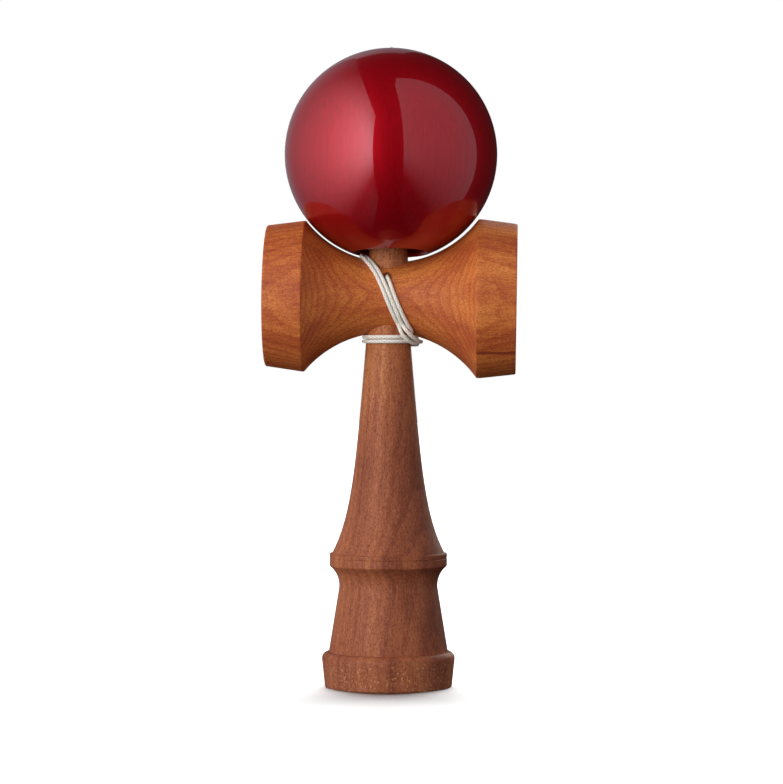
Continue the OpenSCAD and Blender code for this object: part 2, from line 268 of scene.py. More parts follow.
# %% Route of the cord
lead_route = [
    *([0, share * anchor_y, cord_hole_z] for share in (1, 0.5, 0, -0.5, -1)),
    [0, -7.4, cord_hole_z], [0.1, -8.7, 115.5],
    *laid(on_saddle, (0.4, 63), (1.15, 74), (1.75, 83), (2.45, 92), (3.55, 106), (4.7, 120), (6.0, 135, 0.1)),
    [6.7, -6.3, 100.6],
    *laid(on_neck, (-35, 99.3, 1.3), (-15, 98.6, 1.3), (0, 98.3, layer), (20, 98.3, layer),
          (40, 98.5, layer), (60, 98.8, layer), (80, 99.1, 0.9), (100, 99.2, 0.5), (120, 99.25, 0.2),
          (140, 99.15, 0.1), (156, 98.98, 0.05)),
    winding_point(180) + [0, cord_d, 0],
]
winding_route = [winding_point(turn) for turn in range(195, 810, 15)]
first_route = [
    winding_point(810) - [cord_d, 0, 0],
    [-2.2, 7.5, 96.8], [-2.9, 8.4, 97.7], [-3.1, 9.1, 99.3], [-3.2, 9.4, 101.4],
    *laid(on_saddle, (-3.4, -122, 0.1), (-3.9, -105), (-4.6, -85), (-5.4, -62), (-6.4, -40), (-7.4, -20),
          (-7.85, 0), (-7.25, 15), (-6, 28), (-4.5, 42), (-3.2, 55), (-2.1, 68), (-1.1, 80), (-0.2, 92),
          (0.9, 106), (2, 120, 0.1), (3.1, 134, 0.1)),
    [4.1, -7.7, 99.8], [5.6, -6.6, 98],
    *laid(on_neck, (-25, 97, layer), (-10, 96.9, layer), (5, 96.8, layer), (20, 96.7, 1.3), (35, 96.7, 1.3),
          (50, 96.7, 1.3), (65, 96.9, 1.3)),
]
second_route = [
    [1.9, 8.7, 97.8], [1.1, 9.2, 99.4], [0.7, 9.5, 101.4],
    *laid(on_saddle, (0.2, -122, 0.1), (-0.9, -105), (-2, -85), (-3.3, -62), (-4.8, -40), (-5.95, -20),
          (-6.6, 0), (-5.9, 15), (-4.5, 28), (-3.1, 42), (-1.9, 55), (-0.8, 68), (0.2, 80), (1.1, 92),
          (2.2, 106), (3.3, 120, 0.1), (4.4, 134, 0.2)),
    [5.5, -8.2, 100.5], [7.1, -6.8, 98.9], [8.7, -3.4, 97.7], [9.25, 0, 97.5], [8.5, 4, 97.6],
    [6.5, 7.1, 98.4],
]
riser_route = [
    [5, 8.7, 99.6], [3.9, 9.6, 101.6],
    *laid(on_saddle, (2.9, -120, 0.2), (1.9, -105, 0.1), (1.1, -92, 0.2)),
    [1, 14.2, 115.2], [0.9, 18.1, 121.4], [0.8, 22.1, 127.5],
]
ball_route = [on_ball(rise) for rise in range(-33, 76, 9)] + [
    in_ball(behind, along)
    for behind, along in ((3.2, 30.8), (1.8, 30.7), (0.8, 30.1), (0.2, 28.9), (0, 27.4), (0, 25), (0, 22),
                          (0, 18), (0, bead_end))
]
route_points = np.array(lead_route + winding_route + first_route + second_route + riser_route + ball_route)
print("route points", len(route_points))

# %% [markdown]
# One smooth line
# A cord has no corners, so a curve is drawn through the points, and then measured off in equal steps.
# Its length is the cord's real length.

# %% Line of the cord
LINE_STEPS, LINE_GAP = 16, 0.2


def smooth_line(points, steps):
    """Catmull-Rom curve: between two points it is the cubic whose slope at each is half the step between that
    point's neighbours. It passes through every point."""
    ahead = 2 * points[-1] - points[-2]
    before = 2 * points[0] - points[1]
    line = np.vstack([before, points, ahead])
    a, b, c, d = (line[k:len(line) - 3 + k, None, :] for k in range(4))
    t = (np.arange(steps) / steps)[None, :, None]
    cubic = b + 0.5 * t * (c - a + t * (2 * a - 5 * b + 4 * c - d + t * (3 * (b - c) + d - a)))
    return np.vstack([cubic.reshape(-1, 3), points[-1:]])


def even_line(points, gap):
    """The same line with points a fixed gap apart, and how far along it each lies."""
    steps = np.linalg.norm(np.diff(points, axis=0), axis=1)
    along = np.concatenate([[0], np.cumsum(steps)])
    places = np.linspace(0, along[-1], int(along[-1] / gap) + 1)
    return np.stack([np.interp(places, along, points[:, k]) for k in range(3)], axis=1), places


cord_line, cord_along = even_line(smooth_line(route_points, LINE_STEPS), LINE_GAP)

# %% [markdown]
# The cord's surface
# A kendama cord is braided, so a plain round tube would look like wire. Two families of strands wind
# round it in opposite ways, and the profile carried along the route is raised where either one lies,
# which gives the small diamonds of a braid.

# %% Cord tube
STRANDS = 4
BRAID_PITCH = 5.2
VALLEY_DEPTH = 0.09
CORD_SIDES = 24


def braided_tube(line, along, radius, centre):
    """Tube round a line. At length s and angle a its radius is the cord's, less a valley between strands:
    r = radius (1 - depth (1 - crest)), where crest is the larger of |cos(strands (a - turn) / 2)| and
    |cos(strands (a + turn) / 2)|, and turn = 2 pi s / pitch. The angle starts on the side away from
    centre."""
    tangent = np.gradient(line, axis=0)
    tangent /= np.linalg.norm(tangent, axis=1, keepdims=True)
    outward = line - centre
    outward -= tangent * np.sum(outward * tangent, axis=1, keepdims=True)
    outward /= np.linalg.norm(outward, axis=1, keepdims=True)
    sideways = np.cross(tangent, outward)
    angle = np.linspace(0, 2 * np.pi, CORD_SIDES, endpoint=False)[None, :]
    turn = (2 * np.pi * along / BRAID_PITCH)[:, None]
    leftward = np.abs(np.cos(STRANDS * (angle - turn) / 2))
    rightward = np.abs(np.cos(STRANDS * (angle + turn) / 2))
    crest = np.maximum(leftward, rightward)
    r = radius * (1 - VALLEY_DEPTH * (1 - crest))
    across = outward[:, None, :] * np.cos(angle)[..., None] + sideways[:, None, :] * np.sin(angle)[..., None]
    return line[:, None, :] + across * r[..., None], crest


def tube_object(name, line, along, radius, centre):
    """A braided tube as an object, closed at both ends, with an attribute that is 1 on a strand."""
    grid, crest = braided_tube(line, along, radius, centre)
    rows, columns = grid.shape[:2]
    points = np.vstack([grid.reshape(-1, 3), line[:1], line[-1:]]) * MM
    made = make_object(name, points, [grid_faces(rows, columns)] + end_fans(rows, columns))
    strand = made.data.attributes.new("strand", "FLOAT", "POINT")
    strand.data.foreach_set("value", np.concatenate([crest.ravel(), [1, 1]]).astype(np.float32))
    return made


cross_centre = np.array([0, 0, cross_z])
cord = tube_object("cord", cord_line, cord_along, cord_r, cross_centre)
print("cord faces", len(cord.data.polygons))

# %% [markdown]
# The two knots
# Each end of the cord is stopped by an overhand knot. Its middle line is a trefoil, the simplest line
# that is really knotted, scaled down until the tube fills the space that the solid model keeps for the
# knot.

# %% Knots
KNOT_POINTS, KNOT_GAP, KNOT_CORD_R = 241, 0.12, 0.42
UPRIGHT = [[1, 0, 0], [0, 1, 0], [0, 0, 1]]
ON_ITS_BACK = [[1, 0, 0], [0, 0, -1], [0, 1, 0]]


def knot_line(centre, width, height, upright):
    """Trefoil: (sin t + 2 sin 2t, cos t - 2 cos 2t, -sin 3t), scaled so that the tube round it has this width
    and height. upright gives the three columns that turn it into place."""
    t = np.linspace(0, 2 * np.pi, KNOT_POINTS)
    shape = np.stack([np.sin(t) + 2 * np.sin(2 * t), np.cos(t) - 2 * np.cos(2 * t), -np.sin(3 * t)], axis=1)
    spread = np.abs(shape).max(axis=0)
    half = np.array([width, width, height]) / 2 - KNOT_CORD_R
    return np.array(centre) + (shape * half / spread) @ np.array(upright)


def knot_object(name, node, upright):
    """A knot that fills the box of the solid it stands for."""
    low, high = box_mm(node)
    centre = (low + high) / 2
    size = np.abs(np.array(upright) @ (high - low))
    line, along = even_line(knot_line(centre, size[0], size[2], upright), KNOT_GAP)
    return tube_object(name, line, along, KNOT_CORD_R, centre)


bead_knot = knot_object("knot_under_bead", "bead_knot", UPRIGHT)
anchor_knot = knot_object("knot_behind_arm", "anchor_knot", ON_ITS_BACK)
print("knots", bead_knot.name, anchor_knot.name)

# %% [markdown]
# Turned wood
# Everything else came off a lathe, so each piece is one outline spun round an axis. Real edges are
# never quite sharp, so the corners of an outline are rounded before it is spun, and long runs are cut
# into short steps so that the shading stays even.

# %% Outlines
CUT_SHARE = 0.45
TINY = 1e-9


def rounded_outline(corners, radii, arc_steps=8):
    """Outline through the corners, each cut back by its radius and bridged with the parabola
    (1-t)^2 a + 2t(1-t) c + t^2 b, where c is the corner and a, b the cut points. A radius of 0 keeps the
    corner, and no cut takes more than CUT_SHARE of a side."""
    corners = np.array(corners, float)
    before, after = np.roll(corners, 1, axis=0), np.roll(corners, -1, axis=0)
    reach_in = np.linalg.norm(before - corners, axis=1)
    reach_out = np.linalg.norm(after - corners, axis=1)
    cut = np.minimum(np.array(radii, float), CUT_SHARE * np.minimum(reach_in, reach_out))[:, None]
    a = corners + (before - corners) / np.maximum(reach_in, TINY)[:, None] * cut
    b = corners + (after - corners) / np.maximum(reach_out, TINY)[:, None] * cut
    t = np.linspace(0, 1, arc_steps)[None, :, None]
    bridges = (1 - t) ** 2 * a[:, None] + 2 * t * (1 - t) * corners[:, None] + t**2 * b[:, None]
    blocks = [bridge if width > 0 else bridge[:1] for bridge, width in zip(bridges, cut[:, 0])]
    return np.vstack(blocks)


def short_steps(outline, longest):
    """The outline with every run longer than longest cut into equal steps."""
    runs = np.linalg.norm(np.diff(outline, axis=0), axis=1)
    counts = np.maximum(1, np.ceil(runs / longest)).astype(int)
    blocks = [
        start + (end - start) * (np.arange(n) / n)[:, None]
        for start, end, n in zip(outline[:-1], outline[1:], counts)
    ]
    return np.vstack(blocks + [outline[-1:]])


def arc(centre, radius, start, end, count):
    """Points of a circle in the outline's plane, from one angle to another, in degrees."""
    angle = np.radians(np.linspace(start, end, count))
    return np.stack([centre[0] + radius * np.cos(angle), centre[1] + radius * np.sin(angle)], axis=1)


print("quarter circle in three points:", arc([0, 0], 1, 0, 90, 3).round(2).tolist())

# %% [markdown]
# Spinning an outline
# The lathe itself: every point of the outline becomes a ring. An outline that ends on the axis is
# closed with a pole at each end, and one that is a loop, as the ball's is, joins its last ring to its
# first.

# %% Spinning
BALL_SIDES, BEAD_SIDES, HANDLE_SIDES, CROSS_SIDES, SEAT_SIDES, HOLE_SIDES = 200, 64, 176, 192, 96, 48


def spin(outline, columns, closed=False):
    """Points and faces of a turned surface: (r cos a, r sin a, h) for each point (r, h) of the outline and
    each angle a. An open outline starts and ends on the axis."""
    angle = np.linspace(0, 2 * np.pi, columns, endpoint=False)[None, :]
    rings = outline if closed else outline[1:-1]
    r, h = rings[:, :1], rings[:, 1:]
    grid = np.stack([r * np.cos(angle), r * np.sin(angle), h + 0 * angle], axis=-1)
    rows = len(rings)
    points = grid.reshape(-1, 3)
    faces = [grid_faces(rows, columns, closed)]
    if not closed:
        poles = np.array([[0, 0, outline[0, 1]], [0, 0, outline[-1, 1]]])
        points = np.vstack([points, poles])
        faces += end_fans(rows, columns)
    return points, faces


print("spun cone points:", len(spin(np.array([[0, 0], [1, 0], [0, 1]]), 8)[0]))

# %% [markdown]
# The ball
# A ball of 60 mm has a 20 mm bore that the spike goes into, a bevelled mouth, and a small countersunk
# hole in its top for the cord. Its outline is a closed loop that goes up the outside, down through the
# small hole and along the bore, and the finished ball leans back by a few degrees, as its solid does,
# because it sits loose on the spike.

# %% Ball
bore_r, mouth_r, bore_end = 10.0, 10.6, 19.0
hole_r, sink_depth = 1.9, 1.5
mouth_cut, mouth_bevel, mouth_lip = 0.6, 1.0, 0.1
sink_cut, sink_lip = 0.4, (0.2, 0.05)
BALL_STEPS = 200
sink_r = hole_r + sink_depth
mouth_h = -math.sqrt(ball_r**2 - mouth_r**2)
sink_h = math.sqrt(ball_r**2 - sink_r**2)
mouth_start = math.degrees(math.atan2(mouth_h, mouth_r)) + mouth_cut
sink_start = math.degrees(math.atan2(sink_h, sink_r)) - sink_cut
outside = arc([0, 0], ball_r, mouth_start, sink_start, BALL_STEPS)
hole_outline = rounded_outline(
    [outside[-1], [sink_r - sink_lip[0], sink_h - sink_lip[1]], [hole_r, sink_h - sink_depth],
     [hole_r, bore_end], [bore_r, bore_end], [bore_r, mouth_h + mouth_bevel], [mouth_r - mouth_lip, mouth_h],
     outside[0]],
    [0, 0.3, 0.4, 0.2, 0.3, 0.4, 0.4, 0],
)
ball_outline = np.vstack([outside[:-1], short_steps(hole_outline, 0.8)[:-1]])
ball_points, ball_faces = spin(ball_outline, BALL_SIDES, closed=True)


def lean_with_ball(points):
    """Turn points about the X axis by the lean, so that the ball's top goes back, and lift them to its
    middle."""
    c, s = math.cos(ball_lean), math.sin(ball_lean)
    x, y, z = points.T
    return np.stack([x + ball_shift, y * c + z * s, z * c - y * s + ball_z], axis=1)


ball = make_object("lacquered_ball", lean_with_ball(ball_points) * MM, ball_faces, sharp_degrees=50)
print("ball faces", len(ball.data.polygons))

# %% [markdown]
# The stop bead
# Inside the ball a wooden bead keeps the cord from slipping out. It hangs on its knot with its hole
# round the cord.

# %% Stop bead
bead_low, bead_high = box_mm("stop_bead")
bead_r = (bead_high[0] - bead_low[0]) / 2
bead_rise, bead_hole_gap, bead_cut, bead_lip = 15.5, 0.25, 3, 0.1
bead_hole_r = cord_r + bead_hole_gap
bead_h = math.sqrt(bead_r**2 - bead_hole_r**2)
bead_reach = math.degrees(math.acos(bead_hole_r / bead_r)) - bead_cut
bead_outside = arc([0, 0], bead_r, -bead_reach, bead_reach, 60)
bead_wall = rounded_outline(
    [bead_outside[-1], [bead_hole_r, bead_h - bead_lip], [bead_hole_r, bead_lip - bead_h], bead_outside[0]],
    [0, 0.2, 0.2, 0],
)
bead_outline = np.vstack([bead_outside[:-1], short_steps(bead_wall, 0.5)[:-1]])
bead_points, bead_faces = spin(bead_outline, BEAD_SIDES, closed=True)
bead_points = lean_with_ball(bead_points + [0, 0, bead_rise])
bead = make_object("stop_bead_wood", bead_points * MM, bead_faces, sharp_degrees=50)
print("bead", round(2 * bead_r, 1), "mm")

# %% [markdown]
# The handle
# From the bottom up: a shallow cup in the base, a foot with rounded edges, a body that narrows and
# sweeps out in a cove to a collar with a fine line cut round it, a long flare into the neck, and the
# straight spike with its round tip.

# %% Handle outline
foot_r, foot_top_r, foot_height, foot_round = 17.95, 18.8, 8.1, 1.9
body_r, body_z = 16.9, foot_height + foot_round
body_waist_r, body_waist_z, cove_r, waist_blend = 13.9, 28.7, 7.0, 9.0
collar_round = 0.4
line_drop, line_depth, line_half = 1.35, 0.16, 0.2
body_step, flare_step, flare_crowding = 0.05, 0.1, 1.6
outline_step, fine_step = 0.9, 0.3
tip_r = 2.6
base_cup_r, base_cup_depth = 15.2, 6.5

base_dish_r = (base_cup_r**2 + base_cup_depth**2) / (2 * base_cup_depth)
dish_angle = math.degrees(math.asin(base_cup_r / base_dish_r))
base_dish = arc([0, base_cup_depth - base_dish_r], base_dish_r, 90, 90 - dish_angle, 28)
foot_side = rounded_outline(
    [base_dish[-3], base_dish[-1], [foot_r, 0], [foot_top_r, foot_height]],
    [0, 0.3, 0.5, 0],
)
foot_shoulder = arc([foot_top_r - foot_round, foot_height], foot_round, 0, 84, 18)
cove_centre = [body_waist_r + cove_r, body_waist_z]
cove_end = math.degrees(math.acos((cove_centre[0] - collar_r + collar_round) / cove_r))
cove = arc(cove_centre, cove_r, 180 + waist_blend, 180 - cove_end, 40)
body_corner = [body_r - body_step, body_z - body_step]
body_foot = rounded_outline([foot_shoulder[-1], body_corner, cove[0]], [0, 0.22, 0])
flare_z = collar_top_z + (neck_z - collar_top_z) * np.linspace(0, 1, 90) ** flare_crowding
flare = np.stack([flare_r(flare_z), flare_z], axis=1)
line_z = collar_top_z - line_drop
collar_part = rounded_outline(
    [cove[-1], [collar_r, cove[-1][1] + collar_round], [collar_r, line_z - line_half],
     [collar_r - line_depth, line_z], [collar_r, line_z + line_half], [collar_r, collar_top_z],
     [flare[1][0] + flare_step, collar_top_z], flare[2]],
    [0, 0.5, 0.1, 0.1, 0.1, 0.45, 0.2, 0],
)
tip = arc([0, handle_height - tip_r], tip_r, 0, 84, 16)
handle_outline = np.vstack([
    base_dish[:-3],
    short_steps(foot_side, outline_step)[:-1],
    foot_shoulder[:-1],
    short_steps(body_foot, outline_step)[:-1],
    short_steps(cove, outline_step)[:-1],
    short_steps(collar_part, fine_step)[:-1],
    short_steps(np.vstack([flare[2:], [[spike_r, spike_z]], tip]), outline_step),
    [[0, handle_height]],
])
handle_points, handle_faces = spin(handle_outline, HANDLE_SIDES)
handle = make_object("turned_handle", handle_points * MM, handle_faces, sharp_degrees=60)
print("handle faces", len(handle.data.polygons))

# %% [markdown]
# The cross piece
# It is turned about a level axis: a narrow waist between two flared bells, each ending in a crisp
# ridge, a band that tapers to the rim, and a round cup. Both ends come from one function, and an arc
# joins them.

# %% Outline of the cross piece
small_ridge_r, small_rim_r, small_cup_r, small_cup_depth = 21.3, 19.9, 17.8, 8.0
big_ridge_r, big_rim_r, big_cup_r, big_cup_depth = 22.4, 21.2, 19.0, 9.0
big_ridge_land, small_ridge_land = 1.2, 0.6
ridge_run, ridge_round, rim_round, lip_round, band_step = 1.5, 0.15, 0.5, 0.5, 0.7


def ridge_x(radius):
    """How far out the saddle's arc reaches this radius."""
    return math.sqrt(saddle_arc_r**2 - (waist_r + saddle_arc_r - radius) ** 2)


def bell_end(end, ridge_r, ridge_land, rim_r, cup_r, cup_depth):
    """Outline of one end, from the ridge outwards: ridge, tapering band, rounded rim and the cup's dish."""
    dish = (cup_r**2 + cup_depth**2) / (2 * cup_depth)
    half_angle = math.degrees(math.asin(cup_r / dish))
    cup = arc([0, end - cup_depth + dish], dish, half_angle - 90, -90, 44)
    cup = np.stack([np.abs(cup[:, 0]), cup[:, 1]], axis=1)
    start = ridge_x(ridge_r)
    band = rounded_outline(
        [[saddle_r(start - ridge_run), start - ridge_run], [ridge_r, start], [ridge_r, start + ridge_land],
         [rim_r, end], cup[0], cup[3]],
        [0, ridge_round, ridge_round, rim_round, lip_round, 0],
    )
    return np.vstack([short_steps(band[:-1], band_step), cup[3:]])


big_half = (cross_length + end_difference) / 2
small_half = (cross_length - end_difference) / 2
big_end = bell_end(big_half, big_ridge_r, big_ridge_land, big_rim_r, big_cup_r, big_cup_depth)
small_end = bell_end(small_half, small_ridge_r, small_ridge_land, small_rim_r, small_cup_r, small_cup_depth)
small_end = small_end[::-1] * [1, -1]
saddle_h = np.linspace(small_end[-1, 1], big_end[0, 1], 90)[1:-1]
saddle = np.stack([saddle_r(saddle_h), saddle_h], axis=1)
cross_outline = np.vstack([small_end, saddle, big_end])
cross_points, cross_faces = spin(cross_outline, CROSS_SIDES)
print("cross piece outline", len(cross_outline), "points")

# %% [markdown]
# Turned level and drilled
# The spun piece is laid along its level axis. A tapered hole then takes the handle, and a small hole
# from front to back takes the cord. Holes across a turned piece are easiest with a Boolean, whose
# result is kept as the mesh.

# %% Holes of the cross piece
cross_hole_r, seat_gap, drill_spare = 1.3, 0.03, 4


def along_cross(points):
    """Turn a piece spun about Z so that its axis lies along the cross piece."""
    x, y, z = points.T
    return np.stack(place_cross(z, y, -x), axis=1)


def along_y(points, height):
    """Turn a piece spun about Z so that its axis points back along Y, at this height."""
    x, y, z = points.T
    return np.stack([x, z, height - y], axis=1)


def drill(piece, cutter):
    """Cut one closed mesh out of another and keep the result as the piece's mesh."""
    cut = piece.modifiers.new("drill", "BOOLEAN")
    cut.operation = "DIFFERENCE"
    cut.solver = "EXACT"
    cut.object = cutter
    solid = piece.evaluated_get(bpy.context.evaluated_depsgraph_get())
    drilled = bpy.data.meshes.new_from_object(solid)
    piece.modifiers.clear()
    piece.data = drilled
    bpy.data.objects.remove(cutter)


cross_piece = make_object("cross_piece_wood", along_cross(cross_points) * MM, cross_faces)
reach = waist_r + drill_spare
seat_foot, seat_top = cross_z - reach, cross_z + reach
seat_slope = (spike_r - neck_r) / (spike_z - neck_z)
seat_low = neck_r + seat_slope * (seat_foot - neck_z) + seat_gap
seat_high = neck_r + seat_slope * (seat_top - neck_z) + seat_gap
seat_outline = np.array([[0, seat_foot], [seat_low, seat_foot], [seat_high, seat_top], [0, seat_top]])
seat_points, seat_faces = spin(seat_outline, SEAT_SIDES)
drill(cross_piece, make_object("seat_drill", seat_points * MM, seat_faces))
hole_line = np.array([[0, -reach], [cross_hole_r, -reach], [cross_hole_r, reach], [0, reach]])
hole_points, hole_faces = spin(hole_line, HOLE_SIDES)
drill(cross_piece, make_object("cord_drill", along_y(hole_points, cord_hole_z) * MM, hole_faces))
cross_piece.data.shade_smooth()
cross_piece.data.set_sharp_from_angle(angle=math.radians(40))
print("cross piece faces", len(cross_piece.data.polygons))

# %% [markdown]
# Finishes as expressions
# A procedural material is arithmetic on positions. A small class wraps one socket of the node tree, so
# that sums and products of sockets can be written as in Python, and one method adds any other node with
# its settings and inputs.

# %% Node expressions
class Wire:
    """A socket in a material's node tree, with arithmetic that adds Math nodes."""

    def __init__(self, tree, socket):
        self.tree = tree
        self.socket = socket

    def node(self, kind, settings=None, sockets=None, out=0):
        """Add a node with its settings and its sockets' values or links. out names the socket returned."""
        made = self.tree.nodes.new(kind)
        for key, value in (settings or {}).items():
            if key == "stops":
                fill_ramp(made.color_ramp, value)
            else:
                setattr(made, key, value)
        for key, value in (sockets or {}).items():
            if isinstance(value, Wire):
                self.tree.links.new(value.socket, made.inputs[key])
            else:
                made.inputs[key].default_value = value
        return Wire(self.tree, made.outputs[out])

    def maths(self, operation, first, second=0.0):
        """Add a Math node on one or two values."""
        return self.node("ShaderNodeMath", {"operation": operation}, {0: first, 1: second})

    def __add__(self, other):
        return self.maths("ADD", self, other)

    __radd__ = __add__

    def __sub__(self, other):
        return self.maths("SUBTRACT", self, other)

    def __rsub__(self, other):
        return self.maths("SUBTRACT", other, self)

    def __mul__(self, other):
        return self.maths("MULTIPLY", self, other)

    def __pow__(self, other):
        return self.maths("POWER", self, other)


def fill_ramp(ramp, stops):
    """Set a ramp's stops from pairs of place and colour."""
    while len(ramp.elements) < len(stops):
        ramp.elements.new(0.5)
    for element, (place, colour) in zip(ramp.elements, stops):
        element.position = place
        element.color = colour


print("entries of Wire:", len(vars(Wire)))

# %% [markdown]
# Shared parts of the finishes
# Every finish starts in the same way, from the place on the piece in millimetres, and is put together
# from a few small steps: a noise, a smooth step, a mix of two colours and a bump.

# %% Finish helpers
def paint(red, green, blue):
    """A colour as a picture shows it, 0 to 255, turned into the linear light that shaders use."""
    parts = np.array([red, green, blue]) / 255
    light = np.where(parts <= 0.04045, parts / 12.92, ((parts + 0.055) / 1.055) ** 2.4)
    return (*light.tolist(), 1.0)


def new_material(name):
    """A new material, its shader node, and the place on the piece in metres as a Wire."""
    material = bpy.data.materials.new(name)
    material.use_nodes = True
    tree = material.node_tree
    coordinates = tree.nodes.new("ShaderNodeTexCoord")
    return material, tree.nodes["Principled BSDF"], Wire(tree, coordinates.outputs["Object"])


def start_finish(name):
    """A new material and its shader node, with the place in millimetres."""
    material, shader, place = new_material(name)
    sockets = {"Vector": place, "Scale": 1 / MM}
    return material, shader, place.node("ShaderNodeVectorMath", {"operation": "SCALE"}, sockets)


def split_axes(place):
    """The three parts of a place, each as a Wire."""
    split = place.node("ShaderNodeSeparateXYZ", {}, {"Vector": place})
    return [Wire(place.tree, part) for part in split.socket.node.outputs]


def shades(*rows):
    """Stops of a colour ramp, from rows of place, red, green and blue."""
    return [(row[0], paint(*row[1:])) for row in rows]


def set_even(shader, values):
    """Set the sockets that are the same all over a surface."""
    for socket, value in values.items():
        shader.inputs[socket].default_value = value


def blend_colours(wire, share, first, second):
    """Mix of two colours by a share."""
    return wire.node("ShaderNodeMix", {"data_type": "RGBA", "blend_type": "MIX"},
                     {"Factor": share, "A": first, "B": second}, out="Result")


def plug(wire, shader, socket):
    """Link a Wire to a socket of a shader."""
    wire.tree.links.new(wire.socket, shader.inputs[socket])


def bump(wire, height, strength, distance):
    """A bump whose height is a Wire; distance is in metres."""
    return wire.node("ShaderNodeBump", {}, {"Height": height, "Strength": strength, "Distance": distance},
                     out="Normal")


def noise(place, scale, detail=3.0, roughness=0.55):
    """Cloudy noise, from 0 to 1, with this many clouds in a millimetre."""
    return place.node("ShaderNodeTexNoise", {}, {
        "Vector": place, "Scale": scale, "Detail": detail, "Roughness": roughness}, out="Fac")


def between(value, low, high, to_low=0.0, to_high=1.0):
    """Map low..high onto to_low..to_high in a smooth step, and hold it outside."""
    return value.node("ShaderNodeMapRange", {"interpolation_type": "SMOOTHSTEP"}, {
        "Value": value, "From Min": low, "From Max": high, "To Min": to_low, "To Max": to_high}, out="Result")


print("mid grey as linear light:", round(paint(128, 128, 128)[0], 3))

# %% [markdown]
# Wood
# Turned wood shows three things at once: growth rings, which are surfaces about the heart of the tree
# and are cut into arcs where a bell flares, long fibres that streak the colour along the grain, and
# short open pores. The rings come from the distance to an axis beside the piece, and the fibres and
# pores are noise drawn out along the grain.

# %% Wood finish
grain_squeeze, pore_squeeze = 0.06, 0.45
broad_wander, fine_wander = 2.6, 0.45
late_start, late_end = 0.3, 0.95
fibre_share, cloud_share, speck_share, tone_shift = 0.5, 0.75, 0.5, 0.31
pale_shift = 0.18
pore_edge = 0.08
fibre_roughness, pore_roughness = 0.14, 0.1
fibre_relief, speck_relief, relief_strength, relief_depth = 0.35, 0.3, 0.3, 0.00006
fleck_pale, fleck_share = paint(224, 164, 112), 0.65
streak_wobble, streak_fade, streak_front, streak_share = 0.12, 2, -8, 0.9
streak_core, streak_edge = 0.1, 0.6


def wood(name, grain, heart, ring, colours, pore_colour, pores, roughness, fleck_top=None, pale=None,
         streak=None):
    """A wood finish. grain is the axis along the fibres, heart the tree's axis in the other two directions,
    ring the width and strength of the growth rings, and pores their share of the surface, length in
    millimetres and depth of colour. Pale flecks lie below the height fleck_top. Between the two heights of
    pale the wood grows lighter upwards. streak gives the height of one dark line in the front, and how far
    along the grain it starts."""
    material, shader, place = start_finish(name)
    axes = dict(zip("XYZ", split_axes(place)))
    height = axes["Z"]
    along = axes.pop(grain)
    first, second = axes.values()
    along_fibres = along * grain_squeeze
    along_pores = along * (pore_squeeze / pores[1])
    drawn = place.node("ShaderNodeCombineXYZ", {}, {"X": first, "Y": second, "Z": along_fibres})
    dashes = place.node("ShaderNodeCombineXYZ", {}, {"X": first, "Y": second, "Z": along_pores})
    wander = noise(drawn, 0.11, 2.0) * broad_wander + noise(drawn, 0.6, 2.0) * fine_wander
    side, depth = first - heart[0], second - heart[1]
    from_heart = (side * side + depth * depth) ** 0.5 + wander
    phase = from_heart.maths("FRACT", from_heart * (1 / ring[0]))
    late = between(phase, late_start, late_end) - between(phase, late_end, 1.0)
    fibre = noise(drawn, 2.2, 4.0, 0.7)
    cloud = noise(drawn, 0.1, 3.0)
    speck = noise(dashes, 2.4, 2.0, 0.6)
    tone = late * ring[1] + fibre * fibre_share + cloud * cloud_share + speck * speck_share - tone_shift
    if pale is not None:
        tone = tone - between(height, *pale) * pale_shift
    colour = tone.node("ShaderNodeValToRGB", {"stops": colours}, {"Fac": tone})
    pore_field = noise(dashes, 3.4, 1.0, 0.5)
    pore = between(pore_field, 1 - pores[0], 1 + pore_edge - pores[0])
    colour = blend_colours(place, pore * pores[2], colour, pore_colour)
    if streak is not None:
        off_line = height.maths("ABSOLUTE", height + wander * streak_wobble - streak[0])
        far_along = between(along, streak[1], streak[1] + streak_fade)
        in_front = 1 - between(first, streak_front, 0)
        line = (1 - between(off_line, streak_core, streak_edge)) * far_along * in_front
        colour = blend_colours(place, line * streak_share, colour, colours[-1][1])
    if fleck_top is not None:
        low = 1 - between(height, fleck_top - 1, fleck_top + 0.5)
        fleck = between(noise(place, 1.5, 3.0, 0.7), 0.56, 0.68) * low
        colour = blend_colours(place, fleck * fleck_share, colour, fleck_pale)
    plug(colour, shader, "Base Color")
    plug(roughness + fibre * fibre_roughness + pore * pore_roughness, shader, "Roughness")
    relief = fibre * fibre_relief + speck * speck_relief - pore
    plug(bump(place, relief, relief_strength, relief_depth), shader, "Normal")
    set_even(shader, {"Specular IOR Level": 0.25})
    return material


print("grain drawn out", round(1 / grain_squeeze), "times")

# %% [markdown]
# Three woods
# The handle is red-brown with fine dark pores, and its neck is paler. The cross piece is orange, with
# close rings. The bead inside the ball is pale.

